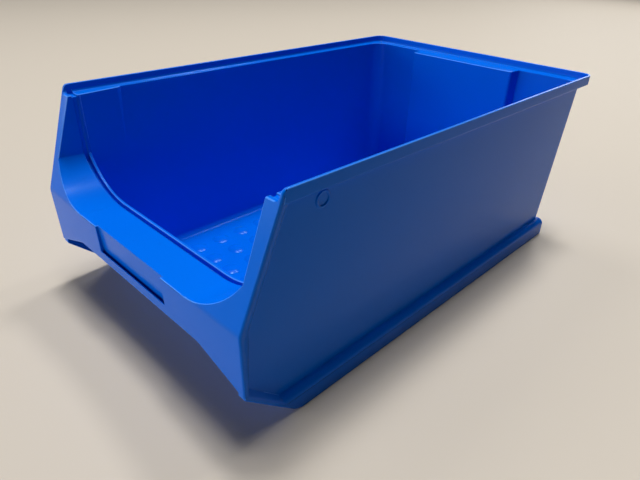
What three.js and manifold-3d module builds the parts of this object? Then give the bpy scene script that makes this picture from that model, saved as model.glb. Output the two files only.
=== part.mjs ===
// Stackable open-front storage bin, moulded in one piece. Millimetres, +Z up, front towards -Y,
// origin on the table under the middle of the bin.
import * as THREE from "three";
import { ConvexGeometry } from "three/addons/geometries/ConvexGeometry.js";
import { mergeVertices } from "three/addons/utils/BufferGeometryUtils.js";
import Module from "manifold-3d";

// ---------------------------------------------------------------- driving dimensions
const LENGTH = 500;
const WIDTH = 310;
const HEIGHT = 200;
const WALL = 2.6; // thickness of every moulded wall
const BEYOND = 20; // how far a cutting solid runs past what it cuts
const OVERLAP = 1; // how far two solids that are joined, or cut one after the other, run into each other
const CORNER_STEPS = 6;

// rim: a lip that stands on a ledge, outside the walls, so that the next bin's rails drop inside it
const LIP = 2.5;
const LIP_DEPTH = 8.3;
const RIM_BAND = 11;
const RIM_CORNER = 12;
const LEDGE_Z = HEIGHT - LIP_DEPTH;
const RIM_BOTTOM = HEIGHT - RIM_BAND;

// outer faces of the walls, which draw in towards the floor
const SIDE_TOP = WIDTH / 2 - 5;
const SIDE_FOOT = SIDE_TOP - 8;
const BACK_TOP = LENGTH / 2 - 9.5;
const BACK_FOOT = BACK_TOP - 3.5;
const BACK_CORNER = 18;

// side outline of the front, from the floor up: sloping heel, upright skirt, raked posts
const FRONT = -LENGTH / 2;
const BELLY_Z = 105;
const TOP_SETBACK = 34.6;
const CHIN_Z = 47;
const CHIN_SETBACK = 1.5;
const HEEL_END = 58;
const HEEL_FOOT = [[HEEL_END, 0], [50, 3], [44, 8]]; // setback and height of the heel's rounded foot

// inside of the bin
const FLOOR_Z = WALL;
const FLOOR_FILLET = 7;
const FILLET_STEPS = 4;
const FRONT_WALL_TOP = FRONT + 43;
const FRONT_WALL_FOOT = FRONT + 60.6;
const INNER_CORNER = BACK_CORNER - WALL;
const INNER_FRONT_CORNER = 5;

// scoop: the U-shaped opening above the front grip, flat in the middle with an elliptical rise each side
const SCOOP_Z = 102;
const SCOOP_FLAT = 79;
const SCOOP_REACH = 70;
const SCOOP_RISE = 63;
const POST_INNER = 141;
const SCOOP_STEPS = 14;
const SCOOP_SWEEP = Math.asin((POST_INNER - SCOOP_FLAT) / SCOOP_REACH); // the ellipse ends at the posts
const HAND_ROOM_TOP = 118;

// slot for a front window, between the grip and the bin's own front wall
const SLOT_FRONT = FRONT + 36.2;
const SLOT_BACK = FRONT + 40.4;
const SLOT_DEPTH = 4.5;
const SLOT_SIDE = 1;
const SLOT_MOUTH = 1.5; // how far the slot's wider mouth reaches down from the ledge
const UNDER_SLOT = 12; // the wall in front of the slot goes this far below the scoop
const UNDER_SLOT_BEND = 20;

// pads that thicken the side walls behind the posts, and carry a wider ledge
const PAD_START = SLOT_BACK;
const PAD_END = FRONT + 83;
const PAD_END_INNER = 144.8;
const PAD_CHAMFER = 2;

// label pocket in the front skirt
const POCKET_HALF = 53;
const POCKET_DEPTH = 4.2;
const POCKET_BOTTOM = 69;
const POCKET_LIP_TOP = 77;
const POCKET_LIP = 2.1;
const SKIRT_EDGE = [[92, 67.3], [101, 66], [114, 62.6], [149, 49]]; // half width and height of its lower edge

// stacking rails along the foot of both sides, and the border that carries them up the front edge
const RAIL_HALF = 150.4;
const RAIL_TOP = 21;
const RAIL_ROUND = 7;
const RAIL_STEPS = 3;
const RAIL_BACK = FRONT + 479.6;
const BORDER = 6;
const CHANNEL_INNER = [[142.3, 8], [140.6, 5], [137, 0]]; // follows the floor fillet above it

// hand recess down the middle of the back wall
const GRIP_BACK_HALF = 73;
const GRIP_FRONT_HALF = 71.5;
const GRIP_DEPTH = 18;

// raised studs on the floor
const STUD_PITCH = 31;
const STUD_RADIUS = 10;
const STUD_TOP_RADIUS = 5;
const STUD_HEIGHT = 2;
const STUD_SINK = 1;
const STUD_SIDES = 8;
const STUD_COLUMNS = 8;
const STUD_ROWS = 12;
const STUD_FIRST_ROW = FRONT + 103;

// plain round mark on the right wall, under the rim
const MARK_Y = FRONT + 73;
const MARK_Z = 180;
const MARK_RADIUS = 7;
const MARK_RELIEF = 0.6;
const MARK_THICKNESS = 4;
const MARK_SIDES = 24;

// ---------------------------------------------------------------- solids
const wasm = await Module();
wasm.setup();

// A closed three.js geometry as a solid that can be joined and cut.
function solidOf(geometry) {
  const bare = geometry.index ? geometry.toNonIndexed() : geometry.clone();
  bare.deleteAttribute("normal");
  bare.deleteAttribute("uv");
  const merged = mergeVertices(bare, 1e-3);
  return new wasm.Manifold(
    new wasm.Mesh({
      numProp: 3,
      vertProperties: new Float32Array(merged.attributes.position.array),
      triVerts: new Uint32Array(merged.index.array),
    }),
  );
}

function geometryOf(solid) {
  const raw = solid.getMesh();
  const geometry = new THREE.BufferGeometry();
  geometry.setAttribute("position", new THREE.BufferAttribute(raw.vertProperties, 3));
  geometry.setIndex(new THREE.BufferAttribute(raw.triVerts, 1));
  const flat = geometry.toNonIndexed();
  flat.computeVertexNormals();
  return flat;
}

const join = (solids) => solids.reduce((all, one) => all.add(one));

function extrude(points, depth) {
  const shape = new THREE.Shape(points.map(([a, b]) => new THREE.Vector2(a, b)));
  return new THREE.ExtrudeGeometry(shape, { depth, bevelEnabled: false });
}

// [x, z] outline, drawn out along Y
function alongY(points, from, to) {
  const geometry = extrude(points, to - from);
  geometry.rotateX(Math.PI / 2);
  geometry.translate(0, to, 0);
  return solidOf(geometry);
}

// [y, z] outline, drawn out along X
function alongX(points, from, to) {
  const geometry = extrude(points, to - from);
  geometry.rotateX(Math.PI / 2);
  geometry.rotateZ(Math.PI / 2);
  geometry.translate(from, 0, 0);
  return solidOf(geometry);
}

// [x, y] outline, drawn out along Z
function alongZ(points, from, to) {
  const geometry = extrude(points, to - from);
  geometry.translate(0, 0, from);
  return solidOf(geometry);
}

function block(x, y, z) {
  const geometry = new THREE.BoxGeometry(x[1] - x[0], y[1] - y[0], z[1] - z[0]);
  geometry.translate((x[0] + x[1]) / 2, (y[0] + y[1]) / 2, (z[0] + z[1]) / 2);
  return solidOf(geometry);
}

const mirrored = (points) => points.map(([x, y]) => [-x, y]).reverse();
const bothSides = (make) => make(1).add(make(-1));
const side = (points, sign) => (sign > 0 ? points : mirrored(points));

// Plan outline of a tub: square or rounded at the front, rounded at the back.
function tubOutline(half, front, back, frontRadius, backRadius) {
  const path = new THREE.Path();
  path.absarc(half - backRadius, back - backRadius, backRadius, 0, Math.PI / 2);
  path.absarc(backRadius - half, back - backRadius, backRadius, Math.PI / 2, Math.PI);
  if (frontRadius > 0) {
    path.absarc(frontRadius - half, front + frontRadius, frontRadius, Math.PI, 1.5 * Math.PI);
    path.absarc(half - frontRadius, front + frontRadius, frontRadius, 1.5 * Math.PI, 2 * Math.PI);
  } else {
    path.lineTo(-half, front);
    path.lineTo(half, front);
  }
  return path.getPoints(CORNER_STEPS).map((p) => [p.x, p.y]);
}

// Convex solid through plan outlines given as [outline, height].
function stack(levels) {
  const points = levels.flatMap(([outline, z]) => outline.map(([x, y]) => new THREE.Vector3(x, y, z)));
  return solidOf(new ConvexGeometry(points));
}

// ---------------------------------------------------------------- the outside
const sideSlope = (SIDE_TOP - SIDE_FOOT) / RIM_BOTTOM;
const outerHalf = (z) => SIDE_FOOT + sideSlope * z;
const outerBack = (z) => BACK_FOOT + ((BACK_TOP - BACK_FOOT) / RIM_BOTTOM) * z;

// Edge of the front as [y, z], drawn in by an inset.
function frontEdge(inset) {
  return [
    ...HEEL_FOOT.map(([setback, z]) => [FRONT + setback + inset, z]),
    [FRONT + CHIN_SETBACK + inset, CHIN_Z + inset / 2],
    [FRONT + inset, BELLY_Z],
    [FRONT + TOP_SETBACK + inset, HEIGHT],
  ];
}

const rake = TOP_SETBACK / (HEIGHT - BELLY_Z);

// Everything behind the front edge.
function behindFront() {
  const edge = frontEdge(0);
  const top = HEIGHT + BEYOND;
  const outline = [...edge, [FRONT + TOP_SETBACK + rake * BEYOND, top], [LENGTH, top], [LENGTH, 0]];
  return alongX(outline.reverse(), -WIDTH, WIDTH);
}

function walls() {
  const level = (z) => [tubOutline(outerHalf(z), FRONT, outerBack(z), 0, BACK_CORNER), z];
  return stack([level(0), level(LEDGE_Z)]);
}

function rimBand() {
  const outline = tubOutline(WIDTH / 2, FRONT, LENGTH / 2, 0, RIM_CORNER);
  return alongZ(outline, RIM_BOTTOM, HEIGHT);
}

// Quarter round of a rail's upper corner, as [x, z], drawn in by an inset.
function railRound(inset) {
  const points = [];
  for (let step = 0; step <= RAIL_STEPS; step += 1) {
    const angle = (step / RAIL_STEPS) * (Math.PI / 2);
    const radius = RAIL_ROUND - inset;
    const x = RAIL_HALF - RAIL_ROUND + radius * Math.cos(angle);
    points.push([x, RAIL_TOP - RAIL_ROUND + radius * Math.sin(angle)]);
  }
  return points;
}

function railSection() {
  const root = outerHalf(RAIL_TOP) - WALL;
  return [[root, 0], [RAIL_HALF, 0], ...railRound(0), [root, RAIL_TOP]];
}

function rails() {
  return bothSides((sign) => alongY(side(railSection(), sign), FRONT, RAIL_BACK));
}

// Flat border up both sides of the heel, skirt and posts: level with the rails up to the belly, and
// widening from there to meet the rim.
function frontBorder() {
  const outline = [...frontEdge(0), ...frontEdge(BORDER).reverse()];
  const level = (half, z) => [[[-half, FRONT], [half, FRONT], [half, 0], [-half, 0]], z];
  const below = stack([level(RAIL_HALF, 0), level(RAIL_HALF, BELLY_Z)]);
  const above = stack([level(RAIL_HALF, BELLY_Z), level(WIDTH / 2, RIM_BOTTOM)]);
  return alongX(outline.reverse(), -WIDTH, WIDTH).intersect(below.add(above));
}

// ---------------------------------------------------------------- the inside
const innerHalf = (z) => outerHalf(z) - WALL;
const innerBack = (z) => outerBack(z) - WALL;
const frontWallSlope = (FRONT_WALL_FOOT - FRONT_WALL_TOP) / (SCOOP_Z - FLOOR_Z);
const innerFront = (z) => Math.max(FRONT_WALL_FOOT - frontWallSlope * (z - FLOOR_Z), FRONT_WALL_TOP);

// The room inside, with a round fillet where the floor meets the walls.
function room() {
  const level = (z, inset) => {
    const front = innerFront(z) + inset;
    return [tubOutline(innerHalf(z) - inset, front, innerBack(z) - inset, INNER_FRONT_CORNER, INNER_CORNER), z];
  };
  const levels = [];
  for (let step = 0; step <= FILLET_STEPS; step += 1) {
    const angle = (step / FILLET_STEPS) * (Math.PI / 2);
    levels.push(level(FLOOR_Z + FLOOR_FILLET * (1 - Math.cos(angle)), FLOOR_FILLET * (1 - Math.sin(angle))));
  }
  return stack([...levels, level(SCOOP_Z, 0), level(LEDGE_Z + BEYOND, 0)]);
}

function pads() {
  const plan = [
    [POST_INNER, FRONT - BEYOND],
    [SIDE_TOP, FRONT - BEYOND],
    [SIDE_TOP, PAD_END],
    [PAD_END_INNER + PAD_CHAMFER, PAD_END],
    [PAD_END_INNER, PAD_END - PAD_CHAMFER],
    [POST_INNER, PAD_START],
  ];
  return bothSides((sign) => alongZ(side(plan, sign), 0, LEDGE_Z));
}

function grip(offset, depth, from, to) {
  const back = LENGTH;
  const root = innerBack(LEDGE_Z);
  const plan = [
    [GRIP_BACK_HALF - offset, back],
    [offset - GRIP_BACK_HALF, back],
    [offset - GRIP_BACK_HALF, root],
    [offset - GRIP_FRONT_HALF, root - depth],
    [GRIP_FRONT_HALF - offset, root - depth],
    [GRIP_BACK_HALF - offset, root],
  ];
  return alongZ(plan, from, to);
}

// Room inside the lip, above the ledge.
function lipRoom() {
  const back = LENGTH / 2 - LIP;
  return alongZ(tubOutline(WIDTH / 2 - LIP, FRONT - BEYOND, back, 0, RIM_CORNER - LIP), LEDGE_Z, HEIGHT + BEYOND);
}

// ---------------------------------------------------------------- the front grip
// Right half of the scoop as [x, z], from the middle to the post, lowered and widened by a drop.
function scoopHalf(drop) {
  const points = [];
  for (let step = 0; step <= SCOOP_STEPS; step += 1) {
    const turn = (step / SCOOP_STEPS) * SCOOP_SWEEP;
    const x = SCOOP_REACH * Math.sin(turn);
    const rise = SCOOP_RISE * (1 - Math.cos(turn));
    points.push([SCOOP_FLAT + x + (drop * step) / SCOOP_STEPS, SCOOP_Z + rise - drop]);
  }
  return points;
}

function scoopOutline(drop, top) {
  const half = scoopHalf(drop);
  const [lastX] = half[half.length - 1];
  const right = [...half, [lastX, top]];
  return [...mirrored(right), ...right];
}

const aboveScoop = (drop, from, to) => alongY(scoopOutline(drop, HEIGHT + BEYOND), from, to);

// Opening above the grip: the U, and the upright faces of the posts.
function scoop() {
  return aboveScoop(0, FRONT - BEYOND, FRONT_WALL_TOP + OVERLAP).intersect(
    block([-POST_INNER, POST_INNER], [FRONT - BEYOND, 0], [0, HEIGHT + BEYOND]),
  );
}

// Hand room under the grip, open below, between the skirt and the bin's own front wall.
function handRoom() {
  const foot = FRONT_WALL_FOOT - WALL;
  const slot = SLOT_FRONT - WALL;
  const skin = FRONT + WALL;
  const outline = [
    [skin + CHIN_SETBACK, -BEYOND],
    [foot + frontWallSlope * (FLOOR_Z + BEYOND), -BEYOND],
    [innerFront(SCOOP_Z - UNDER_SLOT_BEND) - WALL, SCOOP_Z - UNDER_SLOT_BEND],
    [slot, SCOOP_Z - UNDER_SLOT],
    [slot, HAND_ROOM_TOP],
    [skin + rake * (HAND_ROOM_TOP - BELLY_Z), HAND_ROOM_TOP],
    [skin, BELLY_Z],
    [skin + CHIN_SETBACK, CHIN_Z],
  ];
  const under = alongX(outline.reverse(), -WIDTH, WIDTH).intersect(betweenSidePlates());
  return under.subtract(aboveScoop(WALL, FRONT - BEYOND, 0)).subtract(labelBacking());
}

// Space between the two side walls below the posts, with the walls' own draft.
function betweenSidePlates() {
  const level = (z) => [tubOutline(innerHalf(z), FRONT - BEYOND, 0, 0, 1), z];
  return stack([level(-BEYOND), level(HAND_ROOM_TOP)]);
}

// Space under the skirt's lower edge, which is level in the middle and falls to the corners.
function underSkirt() {
  const [corner] = SKIRT_EDGE[SKIRT_EDGE.length - 1];
  const half = [...SKIRT_EDGE, [corner, -BEYOND]];
  const outline = [...mirrored(half), ...half].reverse();
  return alongY(outline, FRONT - BEYOND, FRONT + BEYOND).intersect(betweenSidePlates());
}

function labelBacking() {
  const half = POCKET_HALF + WALL;
  return block([-half, half], [FRONT, FRONT + POCKET_DEPTH + WALL], [0, HEIGHT]);
}

function labelPocket() {
  const x = [-POCKET_HALF, POCKET_HALF];
  const back = FRONT + POCKET_DEPTH;
  const face = block(x, [FRONT - BEYOND, back], [POCKET_LIP_TOP, HEIGHT]);
  const slot = block(x, [FRONT + POCKET_LIP, back], [POCKET_BOTTOM, POCKET_LIP_TOP + OVERLAP]);
  return face.add(slot);
}

function windowSlot() {
  const groove = aboveScoop(SLOT_DEPTH, SLOT_FRONT, SLOT_BACK).intersect(
    block([-POST_INNER - SLOT_SIDE, POST_INNER + SLOT_SIDE], [FRONT, 0], [0, HEIGHT]),
  );
  const mouth = bothSides((sign) => {
    const deep = WIDTH / 2 - LIP;
    const x = sign > 0 ? [POST_INNER - OVERLAP, deep] : [-deep, OVERLAP - POST_INNER];
    return block(x, [SLOT_FRONT, PAD_START], [LEDGE_Z - SLOT_MOUTH, HEIGHT]);
  });
  return groove.add(mouth);
}

// ---------------------------------------------------------------- details
// Hollow under each rail, open below.
function railChannels() {
  const [foot] = CHANNEL_INNER[CHANNEL_INNER.length - 1];
  const section = [[foot, -BEYOND], [RAIL_HALF - WALL, -BEYOND], ...railRound(WALL), ...CHANNEL_INNER];
  return bothSides((sign) => alongY(side(section, sign), FRONT + HEEL_END + BORDER, RAIL_BACK - WALL));
}

function studs() {
  const made = [];
  for (let row = 0; row < STUD_ROWS; row += 1) {
    for (let column = 0; column < STUD_COLUMNS; column += 1) {
      const geometry = new THREE.CylinderGeometry(STUD_TOP_RADIUS, STUD_RADIUS, STUD_HEIGHT + STUD_SINK, STUD_SIDES);
      geometry.rotateX(Math.PI / 2);
      const x = (column - (STUD_COLUMNS - 1) / 2) * STUD_PITCH;
      const y = STUD_FIRST_ROW + row * STUD_PITCH;
      geometry.translate(x, y, FLOOR_Z + (STUD_HEIGHT - STUD_SINK) / 2);
      made.push(solidOf(geometry));
    }
  }
  return join(made);
}

function roundMark() {
  const geometry = new THREE.CylinderGeometry(MARK_RADIUS, MARK_RADIUS, MARK_THICKNESS, MARK_SIDES);
  geometry.rotateZ(Math.PI / 2);
  geometry.translate(outerHalf(MARK_Z - MARK_RADIUS) + MARK_RELIEF - MARK_THICKNESS / 2, MARK_Y, MARK_Z);
  return solidOf(geometry);
}

// ---------------------------------------------------------------- the moulding
function moulding() {
  const outside = join([walls(), rimBand(), rails(), frontBorder()]).intersect(behindFront());
  const hollow = room().subtract(pads()).subtract(grip(0, GRIP_DEPTH, 0, LEDGE_Z));
  const recess = grip(WALL, GRIP_DEPTH - WALL, -BEYOND, RIM_BOTTOM);
  return outside
    .subtract(hollow)
    .subtract(lipRoom())
    .subtract(recess)
    .subtract(scoop())
    .subtract(handRoom())
    .subtract(underSkirt())
    .subtract(labelPocket())
    .subtract(windowSlot())
    .subtract(railChannels())
    .add(studs())
    .add(roundMark());
}

const bin = new THREE.Group();
const polypropylene = new THREE.MeshStandardMaterial({ color: 0x0a4fd6, roughness: 0.38, metalness: 0 });
const body = new THREE.Mesh(geometryOf(moulding()), polypropylene);
body.name = "bin_body";
bin.add(body);

export default bin;
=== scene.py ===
# Stackable open-front storage bin: the finished moulding, its plastic, and a plain studio round it.
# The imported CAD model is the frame. Shapes are worked out in millimetres and stored in metres.
import math

import bmesh
import bpy
from mathutils import Matrix, Vector
from mathutils.bvhtree import BVHTree


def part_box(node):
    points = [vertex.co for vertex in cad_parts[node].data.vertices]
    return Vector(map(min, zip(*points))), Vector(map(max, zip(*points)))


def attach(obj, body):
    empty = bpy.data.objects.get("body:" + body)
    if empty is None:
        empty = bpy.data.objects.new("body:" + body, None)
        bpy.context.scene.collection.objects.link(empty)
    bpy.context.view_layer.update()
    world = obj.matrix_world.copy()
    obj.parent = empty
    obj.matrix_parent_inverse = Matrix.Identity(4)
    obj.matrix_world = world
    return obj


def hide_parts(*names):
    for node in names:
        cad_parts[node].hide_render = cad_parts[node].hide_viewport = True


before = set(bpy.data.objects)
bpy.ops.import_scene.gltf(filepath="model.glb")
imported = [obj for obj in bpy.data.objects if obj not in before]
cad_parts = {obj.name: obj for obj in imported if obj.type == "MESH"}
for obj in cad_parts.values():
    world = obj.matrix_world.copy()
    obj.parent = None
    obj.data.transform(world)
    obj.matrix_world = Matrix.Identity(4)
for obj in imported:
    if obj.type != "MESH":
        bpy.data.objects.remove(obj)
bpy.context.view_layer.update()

MM = 0.001
node_low, node_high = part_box("bin_body")

# ------------------------------------------------------------------ sizes, in millimetres
HALF_WIDTH = node_high.x / MM
HALF_LENGTH = node_high.y / MM
HEIGHT = node_high.z / MM
FRONT = -HALF_LENGTH
WALL = 2.6
BEYOND = 20  # how far a cutting solid runs past what it cuts

LIP = 2.5
LIP_DEPTH = 8.3
LEDGE_FILLET = 3
RIM_BAND = 11
RIM_CORNER = 12
RIM_ROUND = 2
LEDGE_Z = HEIGHT - LIP_DEPTH
RIM_BOTTOM = HEIGHT - RIM_BAND

SIDE_TOP = HALF_WIDTH - 5
SIDE_FOOT = SIDE_TOP - 8
BACK_TOP = HALF_LENGTH - 9.5
BACK_FOOT = BACK_TOP - 3.5
BACK_CORNER = 18

HEEL_Y = FRONT + 52.7
HEEL_ROUND = 20
CHIN_Y = FRONT + 1.5
CHIN_Z = 47
CHIN_ROUND = 3
BELLY_Z = 105
BELLY_ROUND = 14
TOP_Y = FRONT + 34.6
LIP_END_ROUND = 5
RAKE = (TOP_Y - FRONT) / (HEIGHT - BELLY_Z)

FLOOR_Z = WALL
FLOOR_FILLET = 7
FRONT_WALL_TOP = FRONT + 43
FRONT_WALL_FOOT = FRONT + 60.6
INNER_CORNER = BACK_CORNER - WALL

SCOOP_Z = 102.9
SCOOP_FLAT = 79
SCOOP_REACH = 70
SCOOP_RISE = 63
SCOOP_SLOPE = -0.045
POST_INNER = 141
HAND_ROOM_TOP = 118

SLOT_FRONT = FRONT + 36.2
SLOT_BACK = FRONT + 40.4
SLOT_DEPTH = 4.5
SLOT_SIDE = 0.8

PAD_START = FRONT + 40.4
PAD_END = FRONT + 83
PAD_END_INNER = 144.8

POCKET_HALF = 53
POCKET_DEPTH = 4.2
POCKET_TOP_DEPTH = 2.4
POCKET_BOTTOM = 69
POCKET_LIP_TOP = 77
POCKET_LIP = 2.1
SKIRT_EDGE = 67.3
SKIRT_EDGE_HALF = 96
SKIRT_CORNER = 152
HEEL_NICK = 2.5

RAIL_HALF = 150.4
RAIL_STRAIGHT = 11
RAIL_TOP = 21
RAIL_ROUND = 7
RAIL_BACK = FRONT + 479.6
BORDER = 3
BORDER_SLOPE = 11
EDGE_ROUND = 1.8
EDGE_ROUND_LEAST = 1.0
EDGE_ROUND_TOP = 150
EDGE_RUN_OUT = 0.25
COVER = 1.4
COVER_DEPTH = 3
FRONT_ARC_STEPS = 10
FRONT_STEPS = 4 * (FRONT_ARC_STEPS + 1)

GRIP_BACK_HALF = 73
GRIP_FRONT_HALF = 71.5
GRIP_DEPTH = 18

STUD_PITCH = 31
STUD_RADIUS = 10
STUD_HEIGHT = 2.4
STUD_COLUMNS = 8
STUD_ROWS = 12
STUD_FIRST_ROW = FRONT + 103

MARK_Y = FRONT + 73
MARK_Z = 180
MARK_RADIUS = 7
MARK_WIDTH = 2.6
MARK_RELIEF = 0.9

SHARP_EDGE = math.radians(31)
EDGE_BEVEL = 0.75
LARGEST_GAP = 0.34  # a rounded edge never lies further than this from the sharp one
FLAT_ANGLE = math.radians(0.2)
SHORTEST_EDGE = 0.25
BEVEL_FACES = 1  # material index that the edge rounding leaves on its own faces, from which the painted edge highlight is picked
# rounded faces that bend more than this get a painted highlight: a lighter blue, and lower roughness
HIGHLIGHT_BEND = math.radians(42)
CREASE = math.radians(20)  # an edge that isn't rounded shades as a crease from this angle


# ------------------------------------------------------------------ outlines
def rounded(corners, steps=8):
    """Closed outline through (a, b, radius) corners, each rounded by an arc of its radius."""
    outline = []
    for index, (a, b, radius) in enumerate(corners):
        here = Vector((a, b))
        if radius == 0:
            outline.append(here)
            continue
        before = (Vector(corners[index - 1][:2]) - here).normalized()
        after = (Vector(corners[(index + 1) % len(corners)][:2]) - here).normalized()
        half = before.angle(after) / 2
        centre = here + (before + after).normalized() * radius / math.sin(half)
        reach = radius / math.tan(half)
        first = here + before * reach - centre
        last = here + after * reach - centre
        sweep = first.angle(last)
        for step in range(steps + 1):
            turn = sweep * step / steps
            blend = first * math.sin(sweep - turn) + last * math.sin(turn)
            outline.append(centre + blend / math.sin(sweep))
    return outline


def tub_outline(half, front, back, front_round, back_round, steps=12):
    """Plan outline of a tub, rounded at its back corners and, unless the radius is 0, at its front corners."""
    corners = [(-half, front, front_round), (half, front, front_round), (half, back, back_round), (-half, back, back_round)]
    return rounded(corners, steps)


def front_outline(inset=0):
    """Side outline of the bin's front as (y, z), closed far behind the back wall, moved inwards by an inset."""
    behind = HALF_LENGTH + BEYOND
    corners = [
        (HEEL_Y, 0, HEEL_ROUND),
        (CHIN_Y, CHIN_Z, CHIN_ROUND),
        (FRONT, BELLY_Z, BELLY_ROUND),
        (TOP_Y, HEIGHT, LIP_END_ROUND),
        (behind, HEIGHT, 0),
        (behind, 0, 0),
    ]
    return rounded([inset_corner(corners, index, inset) for index in range(len(corners))], FRONT_ARC_STEPS)


def inset_corner(corners, index, inset):
    """One corner of an outline after all its edges have moved inwards by the inset."""
    a, b, radius = corners[index]
    here = Vector((a, b))
    before = (Vector(corners[index - 1][:2]) - here).normalized()
    after = (Vector(corners[(index + 1) % len(corners)][:2]) - here).normalized()
    half = before.angle(after) / 2
    moved = here + (before + after).normalized() * inset / math.sin(half)
    return moved.x, moved.y, max(radius - inset, 0.3) if radius else 0


def mirrored(outline):
    return [Vector((-a, b)) for a, b in reversed(outline)]


# ------------------------------------------------------------------ solids
def solid_from(bm, name="solid"):
    bmesh.ops.recalc_face_normals(bm, faces=bm.faces)
    mesh = bpy.data.meshes.new(name)
    bm.to_mesh(mesh)
    bm.free()
    made = bpy.data.objects.new(name, mesh)
    bpy.context.scene.collection.objects.link(made)
    return made


def loft(rings):
    """Closed solid through rings that all have the same number of points."""
    bm = bmesh.new()
    rows = [[bm.verts.new(point) for point in ring] for ring in rings]
    count = len(rows[0])
    for low, high in zip(rows, rows[1:]):
        for index in range(count):
            after = (index + 1) % count
            bm.faces.new((low[index], low[after], high[after], high[index]))
    bm.faces.new(rows[0])
    bm.faces.new(rows[-1])
    return solid_from(bm)


def along_x(outline, low, high):
    """(y, z) outline drawn out along X."""
    return loft([[(x, a, b) for a, b in outline] for x in (low, high)])


def along_y(outline, low, high, slope=0):
    """(x, z) outline drawn out along Y, rising by slope from the bin's front face."""
    return loft([[(a, y, b + slope * (y - FRONT)) for a, b in outline] for y in (low, high)])


def along_z(outline, low, high):
    """(x, y) outline drawn out along Z."""
    return loft([[(a, b, z) for a, b in outline] for z in (low, high)])


def block(x, y, z):
    return along_z([(x[0], y[0]), (x[1], y[0]), (x[1], y[1]), (x[0], y[1])], *z)


def combine(base, tools, operation):
    """Joins, cuts or intersects the base with each tool in turn, and removes the tools."""
    for tool in tools:
        step = base.modifiers.new(operation, "BOOLEAN")
        step.operation = operation
        step.solver = "MANIFOLD"
        step.object = tool
        apply_modifiers(base)
        bpy.data.objects.remove(tool)
    return base


def apply_modifiers(obj):
    graph = bpy.context.evaluated_depsgraph_get()
    graph.update()
    made = bpy.data.meshes.new_from_object(obj.evaluated_get(graph))
    obj.modifiers.clear()
    obj.data = made


def join(base, *tools):
    return combine(base, tools, "UNION")


def cut(base, *tools):
    return combine(base, tools, "DIFFERENCE")


def common(base, *tools):
    return combine(base, tools, "INTERSECT")


def both_sides(make):
    """The solids that make(1) and make(-1) build, right and left."""
    return [make(1), make(-1)]


def sided(outline, side):
    return outline if side > 0 else mirrored(outline)


# ------------------------------------------------------------------ outside of the bin
def outer_half(z):
    return SIDE_FOOT + (SIDE_TOP - SIDE_FOOT) * z / RIM_BOTTOM


def outer_back(z):
    return BACK_FOOT + (BACK_TOP - BACK_FOOT) * z / RIM_BOTTOM


def behind_front():
    """All of space behind the bin's front, set back so that the front sheet covers its edge."""
    outer = front_outline()
    foot = outer[0].x + COVER
    top = outer[FRONT_STEPS - 1].x + COVER
    inside = front_outline(COVER_DEPTH)[:FRONT_STEPS]
    below = [(foot, -BEYOND), (foot, COVER_DEPTH)]
    above = [(top, HEIGHT - COVER_DEPTH), (top, HEIGHT + BEYOND)]
    behind = [(HALF_LENGTH + BEYOND, HEIGHT + BEYOND), (HALF_LENGTH + BEYOND, -BEYOND)]
    return along_x(below + inside + above + behind, -2 * HALF_WIDTH, 2 * HALF_WIDTH)


def walls():
    def ring(z):
        return [(x, y, z) for x, y in tub_outline(outer_half(z), FRONT, outer_back(z), 0, BACK_CORNER)]

    return common(loft([ring(0), ring(LEDGE_Z)]), behind_front())


def rim_band():
    rings = []
    for step in range(7):
        turn = math.radians(15 * step)
        inset = RIM_ROUND * (1 - math.sin(turn))
        z = RIM_BOTTOM + RIM_ROUND * (1 - math.cos(turn))
        outline = tub_outline(HALF_WIDTH - inset, FRONT, HALF_LENGTH - inset, 0, RIM_CORNER - inset)
        rings.append([(x, y, z) for x, y in outline])
    outline = tub_outline(HALF_WIDTH, FRONT, HALF_LENGTH, 0, RIM_CORNER)
    rings.append([(x, y, HEIGHT) for x, y in outline])
    return common(loft(rings), behind_front())


def rail(side):
    top = outer_half(RAIL_TOP)
    corners = [
        (top - WALL, 0, 0),
        (RAIL_HALF, 0, 0),
        (RAIL_HALF, RAIL_TOP, RAIL_ROUND),
        (top - WALL, RAIL_TOP, 0),
    ]
    outline = sided(rounded(corners, 9), side)
    return common(along_y(outline, FRONT, RAIL_BACK), behind_front())


def edge_half(z):
    """Half width of the front edge: level with the rails below, and with the rim at the top."""
    rise = (z - BELLY_Z) / (RIM_BOTTOM - BELLY_Z)
    return RAIL_HALF + (HALF_WIDTH - RAIL_HALF) * min(max(rise, 0), 1)


def edge_round(z):
    """Radius of the front's upright edges, which run out sharp into the rails and the rim."""
    if z < EDGE_RUN_OUT or z > HEIGHT - EDGE_RUN_OUT:
        return 0.04
    rise = min(z / CHIN_Z, (HEIGHT - z) / (HEIGHT - EDGE_ROUND_TOP), 1)
    return EDGE_ROUND_LEAST + (EDGE_ROUND - EDGE_ROUND_LEAST) * rise


def front_section(z):
    """Right half of the front sheet's section as (x, depth), out of the bin's front face."""
    half = edge_half(z)
    radius = edge_round(z)
    section = []
    for step in range(7):
        turn = math.radians(15 * step)
        section.append((half - radius * (1 - math.sin(turn)), radius * (1 - math.cos(turn))))
    slope = BORDER_SLOPE * (0.3 + 0.7 * min(z / BELLY_Z, 1))
    for step in range(5):
        ease = (1 - math.cos(math.radians(45 * step))) / 2
        section.append((half + (outer_half(z) - 1 - half) * ease, BORDER + slope * step / 4))
    return section


def front_sheet():
    """The sheet that all of the front is cut from, with rounded upright edges, swept up the side outline."""
    outer = front_outline()
    reach = BORDER + BORDER_SLOPE
    inner = front_outline(reach)
    rings = []
    for front, back in zip(outer[:FRONT_STEPS], inner):
        inwards = (back - front) / reach
        z = min(max(front.y, 0), HEIGHT)
        right = [(x, front.x + inwards.x * depth, front.y + inwards.y * depth) for x, depth in front_section(z)]
        rings.append(right + [(-x, y, z) for x, y, z in reversed(right)])
    rings.insert(0, [(x, y + 2 * COVER, z) for x, y, z in rings[0]])
    rings.append([(x, y + 2 * COVER, z) for x, y, z in rings[-1]])
    return loft(rings)


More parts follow.
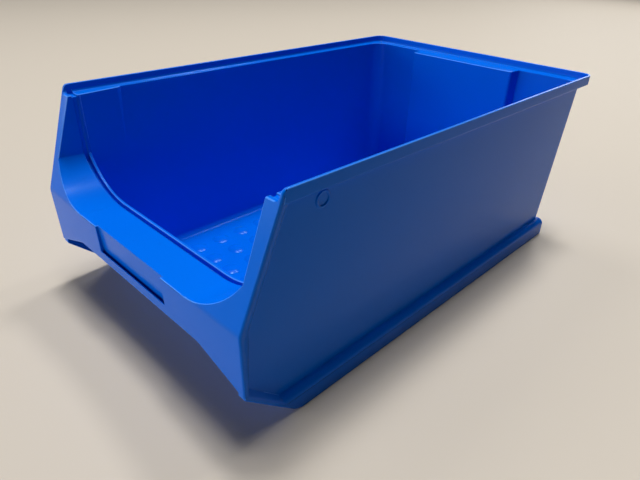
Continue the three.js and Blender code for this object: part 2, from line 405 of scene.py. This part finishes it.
# ------------------------------------------------------------------ room inside
def inner_half(z):
    return outer_half(z) - WALL


def inner_back(z):
    return outer_back(z) - WALL


FRONT_WALL_SLOPE = (FRONT_WALL_FOOT - FRONT_WALL_TOP) / (SCOOP_Z - FLOOR_Z)


def inner_front(z):
    """The bin's own front wall leans up to the scoop, and is upright from there."""
    return max(FRONT_WALL_FOOT - FRONT_WALL_SLOPE * (z - FLOOR_Z), FRONT_WALL_TOP)


def room():
    rings = []
    steps = 8
    for step in range(steps + 1):
        turn = math.radians(90) * step / steps
        inset = FLOOR_FILLET * (1 - math.sin(turn))
        z = FLOOR_Z + FLOOR_FILLET * (1 - math.cos(turn))
        outline = tub_outline(inner_half(z) - inset, inner_front(z) + inset, inner_back(z) - inset, 6, INNER_CORNER)
        rings.append([(x, y, z) for x, y in outline])
    for z in (SCOOP_Z, LEDGE_Z + BEYOND):
        outline = tub_outline(inner_half(z), inner_front(z), inner_back(z), 6, INNER_CORNER)
        rings.append([(x, y, z) for x, y in outline])
    return cut(loft(rings), *both_sides(pad), grip(0, GRIP_DEPTH, -BEYOND, LEDGE_Z))


def pad(side):
    corners = [
        (POST_INNER, FRONT - BEYOND, 0),
        (SIDE_TOP, FRONT - BEYOND, 0),
        (SIDE_TOP, PAD_END + 4, 0),
        (PAD_END_INNER + 3, PAD_END + 4, 4),
        (PAD_END_INNER, PAD_END - 1, 4),
        (POST_INNER, PAD_START, 1),
    ]
    return along_z(sided(rounded(corners), side), -BEYOND, LEDGE_Z)


def grip(offset, depth, low, high):
    root = inner_back(LEDGE_Z)
    back = HALF_LENGTH + BEYOND
    corners = [
        (GRIP_BACK_HALF - offset, back, 0),
        (offset - GRIP_BACK_HALF, back, 0),
        (offset - GRIP_BACK_HALF, root, 3),
        (offset - GRIP_FRONT_HALF, root - depth, 3),
        (GRIP_FRONT_HALF - offset, root - depth, 3),
        (GRIP_BACK_HALF - offset, root, 3),
    ]
    return along_z(rounded(corners), low, high)


def lip_room():
    """Room inside the lip, with a fillet where the lip stands on the ledge."""
    rings = []
    for step in range(7):
        turn = math.radians(15 * step)
        inset = LIP + LEDGE_FILLET * (1 - math.sin(turn))
        z = LEDGE_Z + LEDGE_FILLET * (1 - math.cos(turn))
        outline = tub_outline(HALF_WIDTH - inset, FRONT - BEYOND, HALF_LENGTH - inset, 0, RIM_CORNER - inset)
        rings.append([(x, y, z) for x, y in outline])
    rings.append([(x, y, HEIGHT + BEYOND) for x, y in outline])
    return loft(rings)


# ------------------------------------------------------------------ front grip
def scoop_outline(drop, top):
    """U outline of the scoop as (x, z), lowered and widened by a drop."""
    steps = 30
    sweep = math.asin((POST_INNER - SCOOP_FLAT) / SCOOP_REACH)
    right = []
    for step in range(steps + 1):
        part = step / steps
        x = SCOOP_FLAT + SCOOP_REACH * math.sin(sweep * part)
        z = SCOOP_Z + SCOOP_RISE * (1 - math.cos(sweep * part))
        right.append(Vector((x + drop * part, z - drop)))
    right.append(Vector((right[-1].x, top)))
    return mirrored(right) + right


def above_scoop(drop, low, high):
    return along_y(scoop_outline(drop, HEIGHT + 2 * BEYOND), low, high, SCOOP_SLOPE)


def scoop():
    between = block((-POST_INNER, POST_INNER), (FRONT - BEYOND, 0), (0, HEIGHT + BEYOND))
    return common(above_scoop(0, FRONT - BEYOND, FRONT_WALL_TOP + 1), between)


def between_side_plates(top=HAND_ROOM_TOP):
    def ring(z):
        return [(x, y, z) for x, y in tub_outline(inner_half(z), FRONT - BEYOND, 0, 0, 1)]

    return loft([ring(-BEYOND), ring(top)])


def label_backing():
    half = POCKET_HALF + WALL
    return block((-half, half), (FRONT, FRONT + POCKET_DEPTH + WALL), (0, HEIGHT))


def hand_room():
    """Room for fingers under the grip, open below."""
    skin = FRONT + WALL
    slot = SLOT_FRONT - WALL
    corners = [
        (skin + CHIN_Y - FRONT, -BEYOND, 0),
        (skin + CHIN_Y - FRONT, CHIN_Z, 0),
        (skin, BELLY_Z, 6),
        (skin + RAKE * (HAND_ROOM_TOP - BELLY_Z), HAND_ROOM_TOP, 0),
        (slot, HAND_ROOM_TOP, 0),
        (slot, SCOOP_Z - 12, 4),
        (inner_front(SCOOP_Z - 20) - WALL, SCOOP_Z - 20, 4),
        (inner_front(-BEYOND) - WALL, -BEYOND, 0),
    ]
    under = common(along_x(rounded(corners), -2 * HALF_WIDTH, 2 * HALF_WIDTH), between_side_plates())
    return cut(under, above_scoop(WALL, FRONT - BEYOND, 0), label_backing())


def skirt_arch(depth):
    right = [
        (SKIRT_EDGE_HALF, SKIRT_EDGE, 30),
        (SKIRT_CORNER, CHIN_Z + 1, 0),
        (SKIRT_CORNER, -BEYOND, 0),
    ]
    left = [(-x, z, radius) for x, z, radius in reversed(right)]
    return along_y(rounded(left + right, 12), FRONT - BEYOND, FRONT + depth)


def under_skirt():
    """Space under the skirt, which also nicks the heels so that the skirt's edge runs on to the corners."""
    return join(common(skirt_arch(12), between_side_plates()), skirt_arch(HEEL_NICK))


def label_pocket():
    """A shallow face that leans back towards its foot, where a strip across the front holds the label."""
    half = POCKET_HALF
    top = FRONT + POCKET_TOP_DEPTH
    foot = FRONT + POCKET_DEPTH
    face = [(FRONT - BEYOND, POCKET_LIP_TOP), (foot, POCKET_LIP_TOP), (top, SCOOP_Z), (top, HEIGHT), (FRONT - BEYOND, HEIGHT)]
    slot = [(FRONT + POCKET_LIP, POCKET_BOTTOM), (foot, POCKET_BOTTOM), (foot, POCKET_LIP_TOP + 1)]
    slot.append((FRONT + POCKET_LIP, POCKET_LIP_TOP + 1))
    return join(along_x(face, -half, half), along_x(slot, -half, half))


def window_groove():
    reach = POST_INNER + SLOT_SIDE
    limits = block((-reach, reach), (FRONT, 0), (0, HEIGHT))
    return common(above_scoop(SLOT_DEPTH, SLOT_FRONT, SLOT_BACK), limits)


def window_mouth(side):
    low, high = sorted((side * (POST_INNER - 1), side * (HALF_WIDTH - LIP)))
    return block((low, high), (SLOT_FRONT - 0.7, PAD_START), (LEDGE_Z - 1.5, HEIGHT))


# ------------------------------------------------------------------ details
def rail_channel(side):
    inner = RAIL_HALF - WALL
    corners = [
        (137, -BEYOND, 0),
        (inner, -BEYOND, 0),
        (inner, RAIL_STRAIGHT - 1, 2),
        (inner - 2.5, RAIL_STRAIGHT + 3.5, 1),
        (142.6, RAIL_STRAIGHT + 2.5, 1),
        (140.6, 5, 3),
        (137, 0, 0),
    ]
    outline = sided(rounded(corners, 4), side)
    return along_y(outline, HEEL_Y + 12, RAIL_BACK - WALL)


def stud_places():
    for row in range(STUD_ROWS):
        for column in range(STUD_COLUMNS):
            yield (column - (STUD_COLUMNS - 1) / 2) * STUD_PITCH, STUD_FIRST_ROW + row * STUD_PITCH


def domes(base_z, height, radius, under):
    """One solid of separate round domes, one at each stud, each reaching a little below its base."""
    bm = bmesh.new()
    rings = 6
    around = 28
    ball = (radius * radius + height * height) / (2 * height)
    edge = math.asin(radius / ball)
    for x, y in stud_places():
        rows = []
        foot = [bm.verts.new((x + radius * math.cos(t), y + radius * math.sin(t), base_z - under)) for t in turns(around)]
        rows.append(foot)
        for ring in range(rings):
            lean = edge * (1 - ring / rings)
            r = ball * math.sin(lean)
            z = base_z + height - ball * (1 - math.cos(lean))
            rows.append([bm.verts.new((x + r * math.cos(t), y + r * math.sin(t), z)) for t in turns(around)])
        for low, high in zip(rows, rows[1:]):
            for index in range(around):
                after = (index + 1) % around
                bm.faces.new((low[index], low[after], high[after], high[index]))
        tip = bm.verts.new((x, y, base_z + height))
        for index in range(around):
            bm.faces.new((rows[-1][index], rows[-1][(index + 1) % around], tip))
        bm.faces.new(list(reversed(foot)))
    return solid_from(bm)


def turns(count):
    return [2 * math.pi * index / count for index in range(count)]


def round_mark():
    """A plain raised ring on the right wall, with a half-round section."""
    around = 64
    middle = MARK_RADIUS - MARK_WIDTH / 2
    section = [(math.cos(t) * MARK_WIDTH / 2, math.sin(t) * MARK_RELIEF) for t in turns(12)]
    bm = bmesh.new()
    rows = []
    for turn in turns(around):
        row = []
        for out, rise in section:
            z = MARK_Z + (middle + out) * math.sin(turn)
            row.append(bm.verts.new((outer_half(z) + rise, MARK_Y + (middle + out) * math.cos(turn), z)))
        rows.append(row)
    for index, here in enumerate(rows):
        there = rows[(index + 1) % around]
        for corner in range(len(section)):
            after = (corner + 1) % len(section)
            bm.faces.new((here[corner], here[after], there[after], there[corner]))
    return solid_from(bm)


# ------------------------------------------------------------------ the moulding
def moulding():
    body = join(walls(), rim_band(), *both_sides(rail), front_sheet())
    cut(body, room(), lip_room(), grip(WALL, GRIP_DEPTH - WALL, -BEYOND, RIM_BOTTOM))
    cut(body, scoop(), hand_room(), under_skirt(), label_pocket(), window_groove())
    cut(body, *both_sides(window_mouth), *both_sides(rail_channel))
    cut(body, domes(0, STUD_HEIGHT, STUD_RADIUS - 1, BEYOND))
    join(body, domes(FLOOR_Z, STUD_HEIGHT, STUD_RADIUS, 0.5))
    soften_edges(body)
    mark_creases_and_highlights(body)
    add_mark(body, round_mark())
    shade(body)
    body.data.transform(Matrix.Scale(MM, 4))
    body.name = body.data.name = "bin_moulding"
    return body


def soften_edges(body):
    """Rounds every sharp edge a little, as a mould leaves it."""
    bm = bmesh.new()
    bm.from_mesh(body.data)
    bmesh.ops.remove_doubles(bm, verts=bm.verts, dist=SHORTEST_EDGE)
    bmesh.ops.dissolve_limit(
        bm, angle_limit=FLAT_ANGLE, verts=bm.verts, edges=bm.edges, use_dissolve_boundaries=False
    )
    bmesh.ops.triangulate(bm, faces=[face for face in bm.faces if len(face.verts) > 4])
    bmesh.ops.dissolve_degenerate(bm, dist=SHORTEST_EDGE / 10, edges=bm.edges)
    bm.to_mesh(body.data)
    skin = BVHTree.FromBMesh(bm)
    bm.free()
    bevel = body.modifiers.new("mould_radius", "BEVEL")
    bevel.width = EDGE_BEVEL
    bevel.segments = 3
    bevel.limit_method = "ANGLE"
    bevel.angle_limit = SHARP_EDGE
    bevel.use_clamp_overlap = False
    bevel.loop_slide = False
    bevel.material = BEVEL_FACES
    body.data.materials.append(None)
    body.data.materials.append(None)
    apply_modifiers(body)
    for vert in body.data.vertices:
        place, normal, face, gap = skin.find_nearest(vert.co)
        if gap > LARGEST_GAP:
            vert.co = place
        vert.co.x = min(max(vert.co.x, -HALF_WIDTH), HALF_WIDTH)
        vert.co.z = min(max(vert.co.z, 0), HEIGHT)


def mark_creases_and_highlights(body):
    """Shades unrounded sharp edges as creases, and flags the rounded outward edges for a painted highlight: a
    lighter blue and a lower roughness.
    """
    bm = bmesh.new()
    bm.from_mesh(body.data)
    for edge in bm.edges:
        if edge.calc_face_angle(0) > CREASE and all(face.material_index != BEVEL_FACES for face in edge.link_faces):
            edge.smooth = False
    # painted highlight: sharply bent rounded faces are flagged for a lighter blue that stands in for edge
    # highlights, and for lower roughness
    edge_highlight_and_gloss = bm.faces.layers.float.new("edge_highlight_and_gloss")
    for face in bm.faces:
        bend = sum(edge.calc_face_angle_signed(0) for edge in face.edges)
        highlighted = face.material_index == BEVEL_FACES and bend > HIGHLIGHT_BEND
        face[edge_highlight_and_gloss] = 1.0 if highlighted and not in_post_slot(face.calc_center_median()) else 0.0
        face.material_index = 0
    bm.to_mesh(body.data)
    bm.free()


def in_post_slot(place):
    """The window slot up a post's inner face, whose edges are left without the painted highlight."""
    return abs(place.x) > POST_INNER - 1 and SLOT_FRONT - 1 < place.y < SLOT_BACK + 1 and place.z < LEDGE_Z - 3


def add_mark(body, mark):
    bm = bmesh.new()
    bm.from_mesh(body.data)
    bm.from_mesh(mark.data)
    bpy.data.objects.remove(mark)
    bm.to_mesh(body.data)
    bm.free()


def shade(body):
    body.data.polygons.foreach_set("use_smooth", [True] * len(body.data.polygons))
    normals = body.modifiers.new("even_shading", "WEIGHTED_NORMAL")
    normals.weight = 50
    normals.keep_sharp = True


# ------------------------------------------------------------------ plastic
def plastic():
    material = bpy.data.materials.new("blue_polypropylene")
    material.use_nodes = True
    nodes = material.node_tree.nodes
    links = material.node_tree.links
    shader = nodes["Principled BSDF"]
    shader.inputs["IOR"].default_value = 1.49
    shader.inputs["Specular IOR Level"].default_value = 0.12
    shader.inputs["Specular Tint"].default_value = (0.5, 0.75, 1, 1)
    place = nodes.new("ShaderNodeTexCoord")

    def noise(scale, detail):
        node = nodes.new("ShaderNodeTexNoise")
        node.inputs["Scale"].default_value = scale
        node.inputs["Detail"].default_value = detail
        links.new(place.outputs["Object"], node.inputs["Vector"])
        return node

    tone = nodes.new("ShaderNodeMix")
    tone.data_type = "RGBA"
    tone.inputs["A"].default_value = (0.0, 0.126, 0.7, 1)
    tone.inputs["B"].default_value = (0.0, 0.144, 0.76, 1)
    links.new(noise(6, 3).outputs["Fac"], tone.inputs["Factor"])

    # painted highlight: the flagged edge faces are painted a lighter blue in place of real edge highlights
    edge_highlight_and_gloss = nodes.new("ShaderNodeAttribute")
    edge_highlight_and_gloss.attribute_name = "edge_highlight_and_gloss"
    highlighted = nodes.new("ShaderNodeMix")
    highlighted.data_type = "RGBA"
    highlighted.inputs["B"].default_value = (0.06, 0.27, 0.92, 1)
    links.new(edge_highlight_and_gloss.outputs["Fac"], highlighted.inputs["Factor"])
    links.new(tone.outputs["Result"], highlighted.inputs["A"])
    links.new(highlighted.outputs["Result"], shader.inputs["Base Color"])

    gloss = nodes.new("ShaderNodeMapRange")
    gloss.inputs["To Min"].default_value = 0.15
    gloss.inputs["To Max"].default_value = 0.23
    links.new(noise(18, 5).outputs["Fac"], gloss.inputs["Value"])
    polished = nodes.new("ShaderNodeMix")
    polished.inputs["B"].default_value = 0.12
    links.new(edge_highlight_and_gloss.outputs["Fac"], polished.inputs["Factor"])
    links.new(gloss.outputs["Result"], polished.inputs["A"])
    links.new(polished.outputs["Result"], shader.inputs["Roughness"])

    grain = nodes.new("ShaderNodeBump")
    grain.inputs["Strength"].default_value = 0.12
    grain.inputs["Distance"].default_value = 0.0003
    links.new(noise(1400, 2).outputs["Fac"], grain.inputs["Height"])
    links.new(grain.outputs["Normal"], shader.inputs["Normal"])
    return material


# ------------------------------------------------------------------ studio
def floor():
    bm = bmesh.new()
    bmesh.ops.create_grid(bm, x_segments=1, y_segments=1, size=6)
    ground = solid_from(bm, "studio_floor")
    material = bpy.data.materials.new("pale_floor")
    material.use_nodes = True
    shader = material.node_tree.nodes["Principled BSDF"]
    shader.inputs["Base Color"].default_value = (0.56, 0.5, 0.42, 1)
    shader.inputs["Roughness"].default_value = 0.7
    ground.data.materials.append(material)


def area_light(name, place, target, size, power, tint=(1, 1, 1)):
    lamp = bpy.data.lights.new(name, "AREA")
    lamp.shape = "RECTANGLE"
    lamp.size, lamp.size_y = size
    lamp.energy = power
    lamp.color = tint
    holder = bpy.data.objects.new(name, lamp)
    holder.location = place
    holder.rotation_euler = (Vector(target) - Vector(place)).to_track_quat("-Z", "Y").to_euler()
    bpy.context.scene.collection.objects.link(holder)


def lights():
    bpy.context.scene.view_settings.view_transform = "Standard"
    area_light("ceiling_left", (-2.6, 0.1, 3.9), (0, 0, 0.1), (1.6, 1.6), 33)
    area_light("ceiling_middle", (-0.5, 0.7, 4.4), (0, 0, 0.1), (0.7, 0.7), 90)
    area_light("ceiling_back", (-0.6, 2.2, 3.9), (0, 0, 0.1), (0.7, 0.7), 40)
    area_light("ceiling_back_right", (0.25, 2.2, 3.9), (0, 0, 0.1), (0.3, 0.5), 16)
    area_light("overhead", (0.0, 0.0, 4.5), (0, 0, 0.1), (0.6, 0.6), 49)
    area_light("overhead_right", (0.8, 0.2, 4.4), (0, 0, 0.1), (0.6, 0.6), 14)
    area_light("back", (-0.5, 3.6, 1.2), (0, 0, 0.1), (2.0, 1.0), 21)
    area_light("front_left", (-2.6, -2.6, 0.8), (0, 0, 0.1), (2.4, 1.3), 29)
    area_light("front", (-0.4, -3.4, 0.32), (0, 0, 0.1), (1.6, 0.5), 33)
    world = bpy.data.worlds.new("studio")
    bpy.context.scene.world = world
    world.use_nodes = True
    sky = world.node_tree.nodes["Background"]
    sky.inputs["Color"].default_value = (0.9, 0.93, 1.0, 1)
    sky.inputs["Strength"].default_value = 0.01


def camera():
    lens = bpy.data.cameras.new("camera")
    lens.sensor_width = 36
    lens.lens = 29.87
    lens.clip_start = 0.01
    holder = bpy.data.objects.new("camera", lens)
    holder.location = (0.3657, -0.4021, 0.331)
    holder.rotation_euler = [math.radians(turn) for turn in (59.71, -1.74, 45.03)]
    bpy.context.scene.collection.objects.link(holder)
    bpy.context.scene.camera = holder


camera()
bin_moulding = moulding()
bin_moulding.data.materials.clear()
bin_moulding.data.materials.append(plastic())
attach(bin_moulding, "root")
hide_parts("bin_body")
floor()
lights()
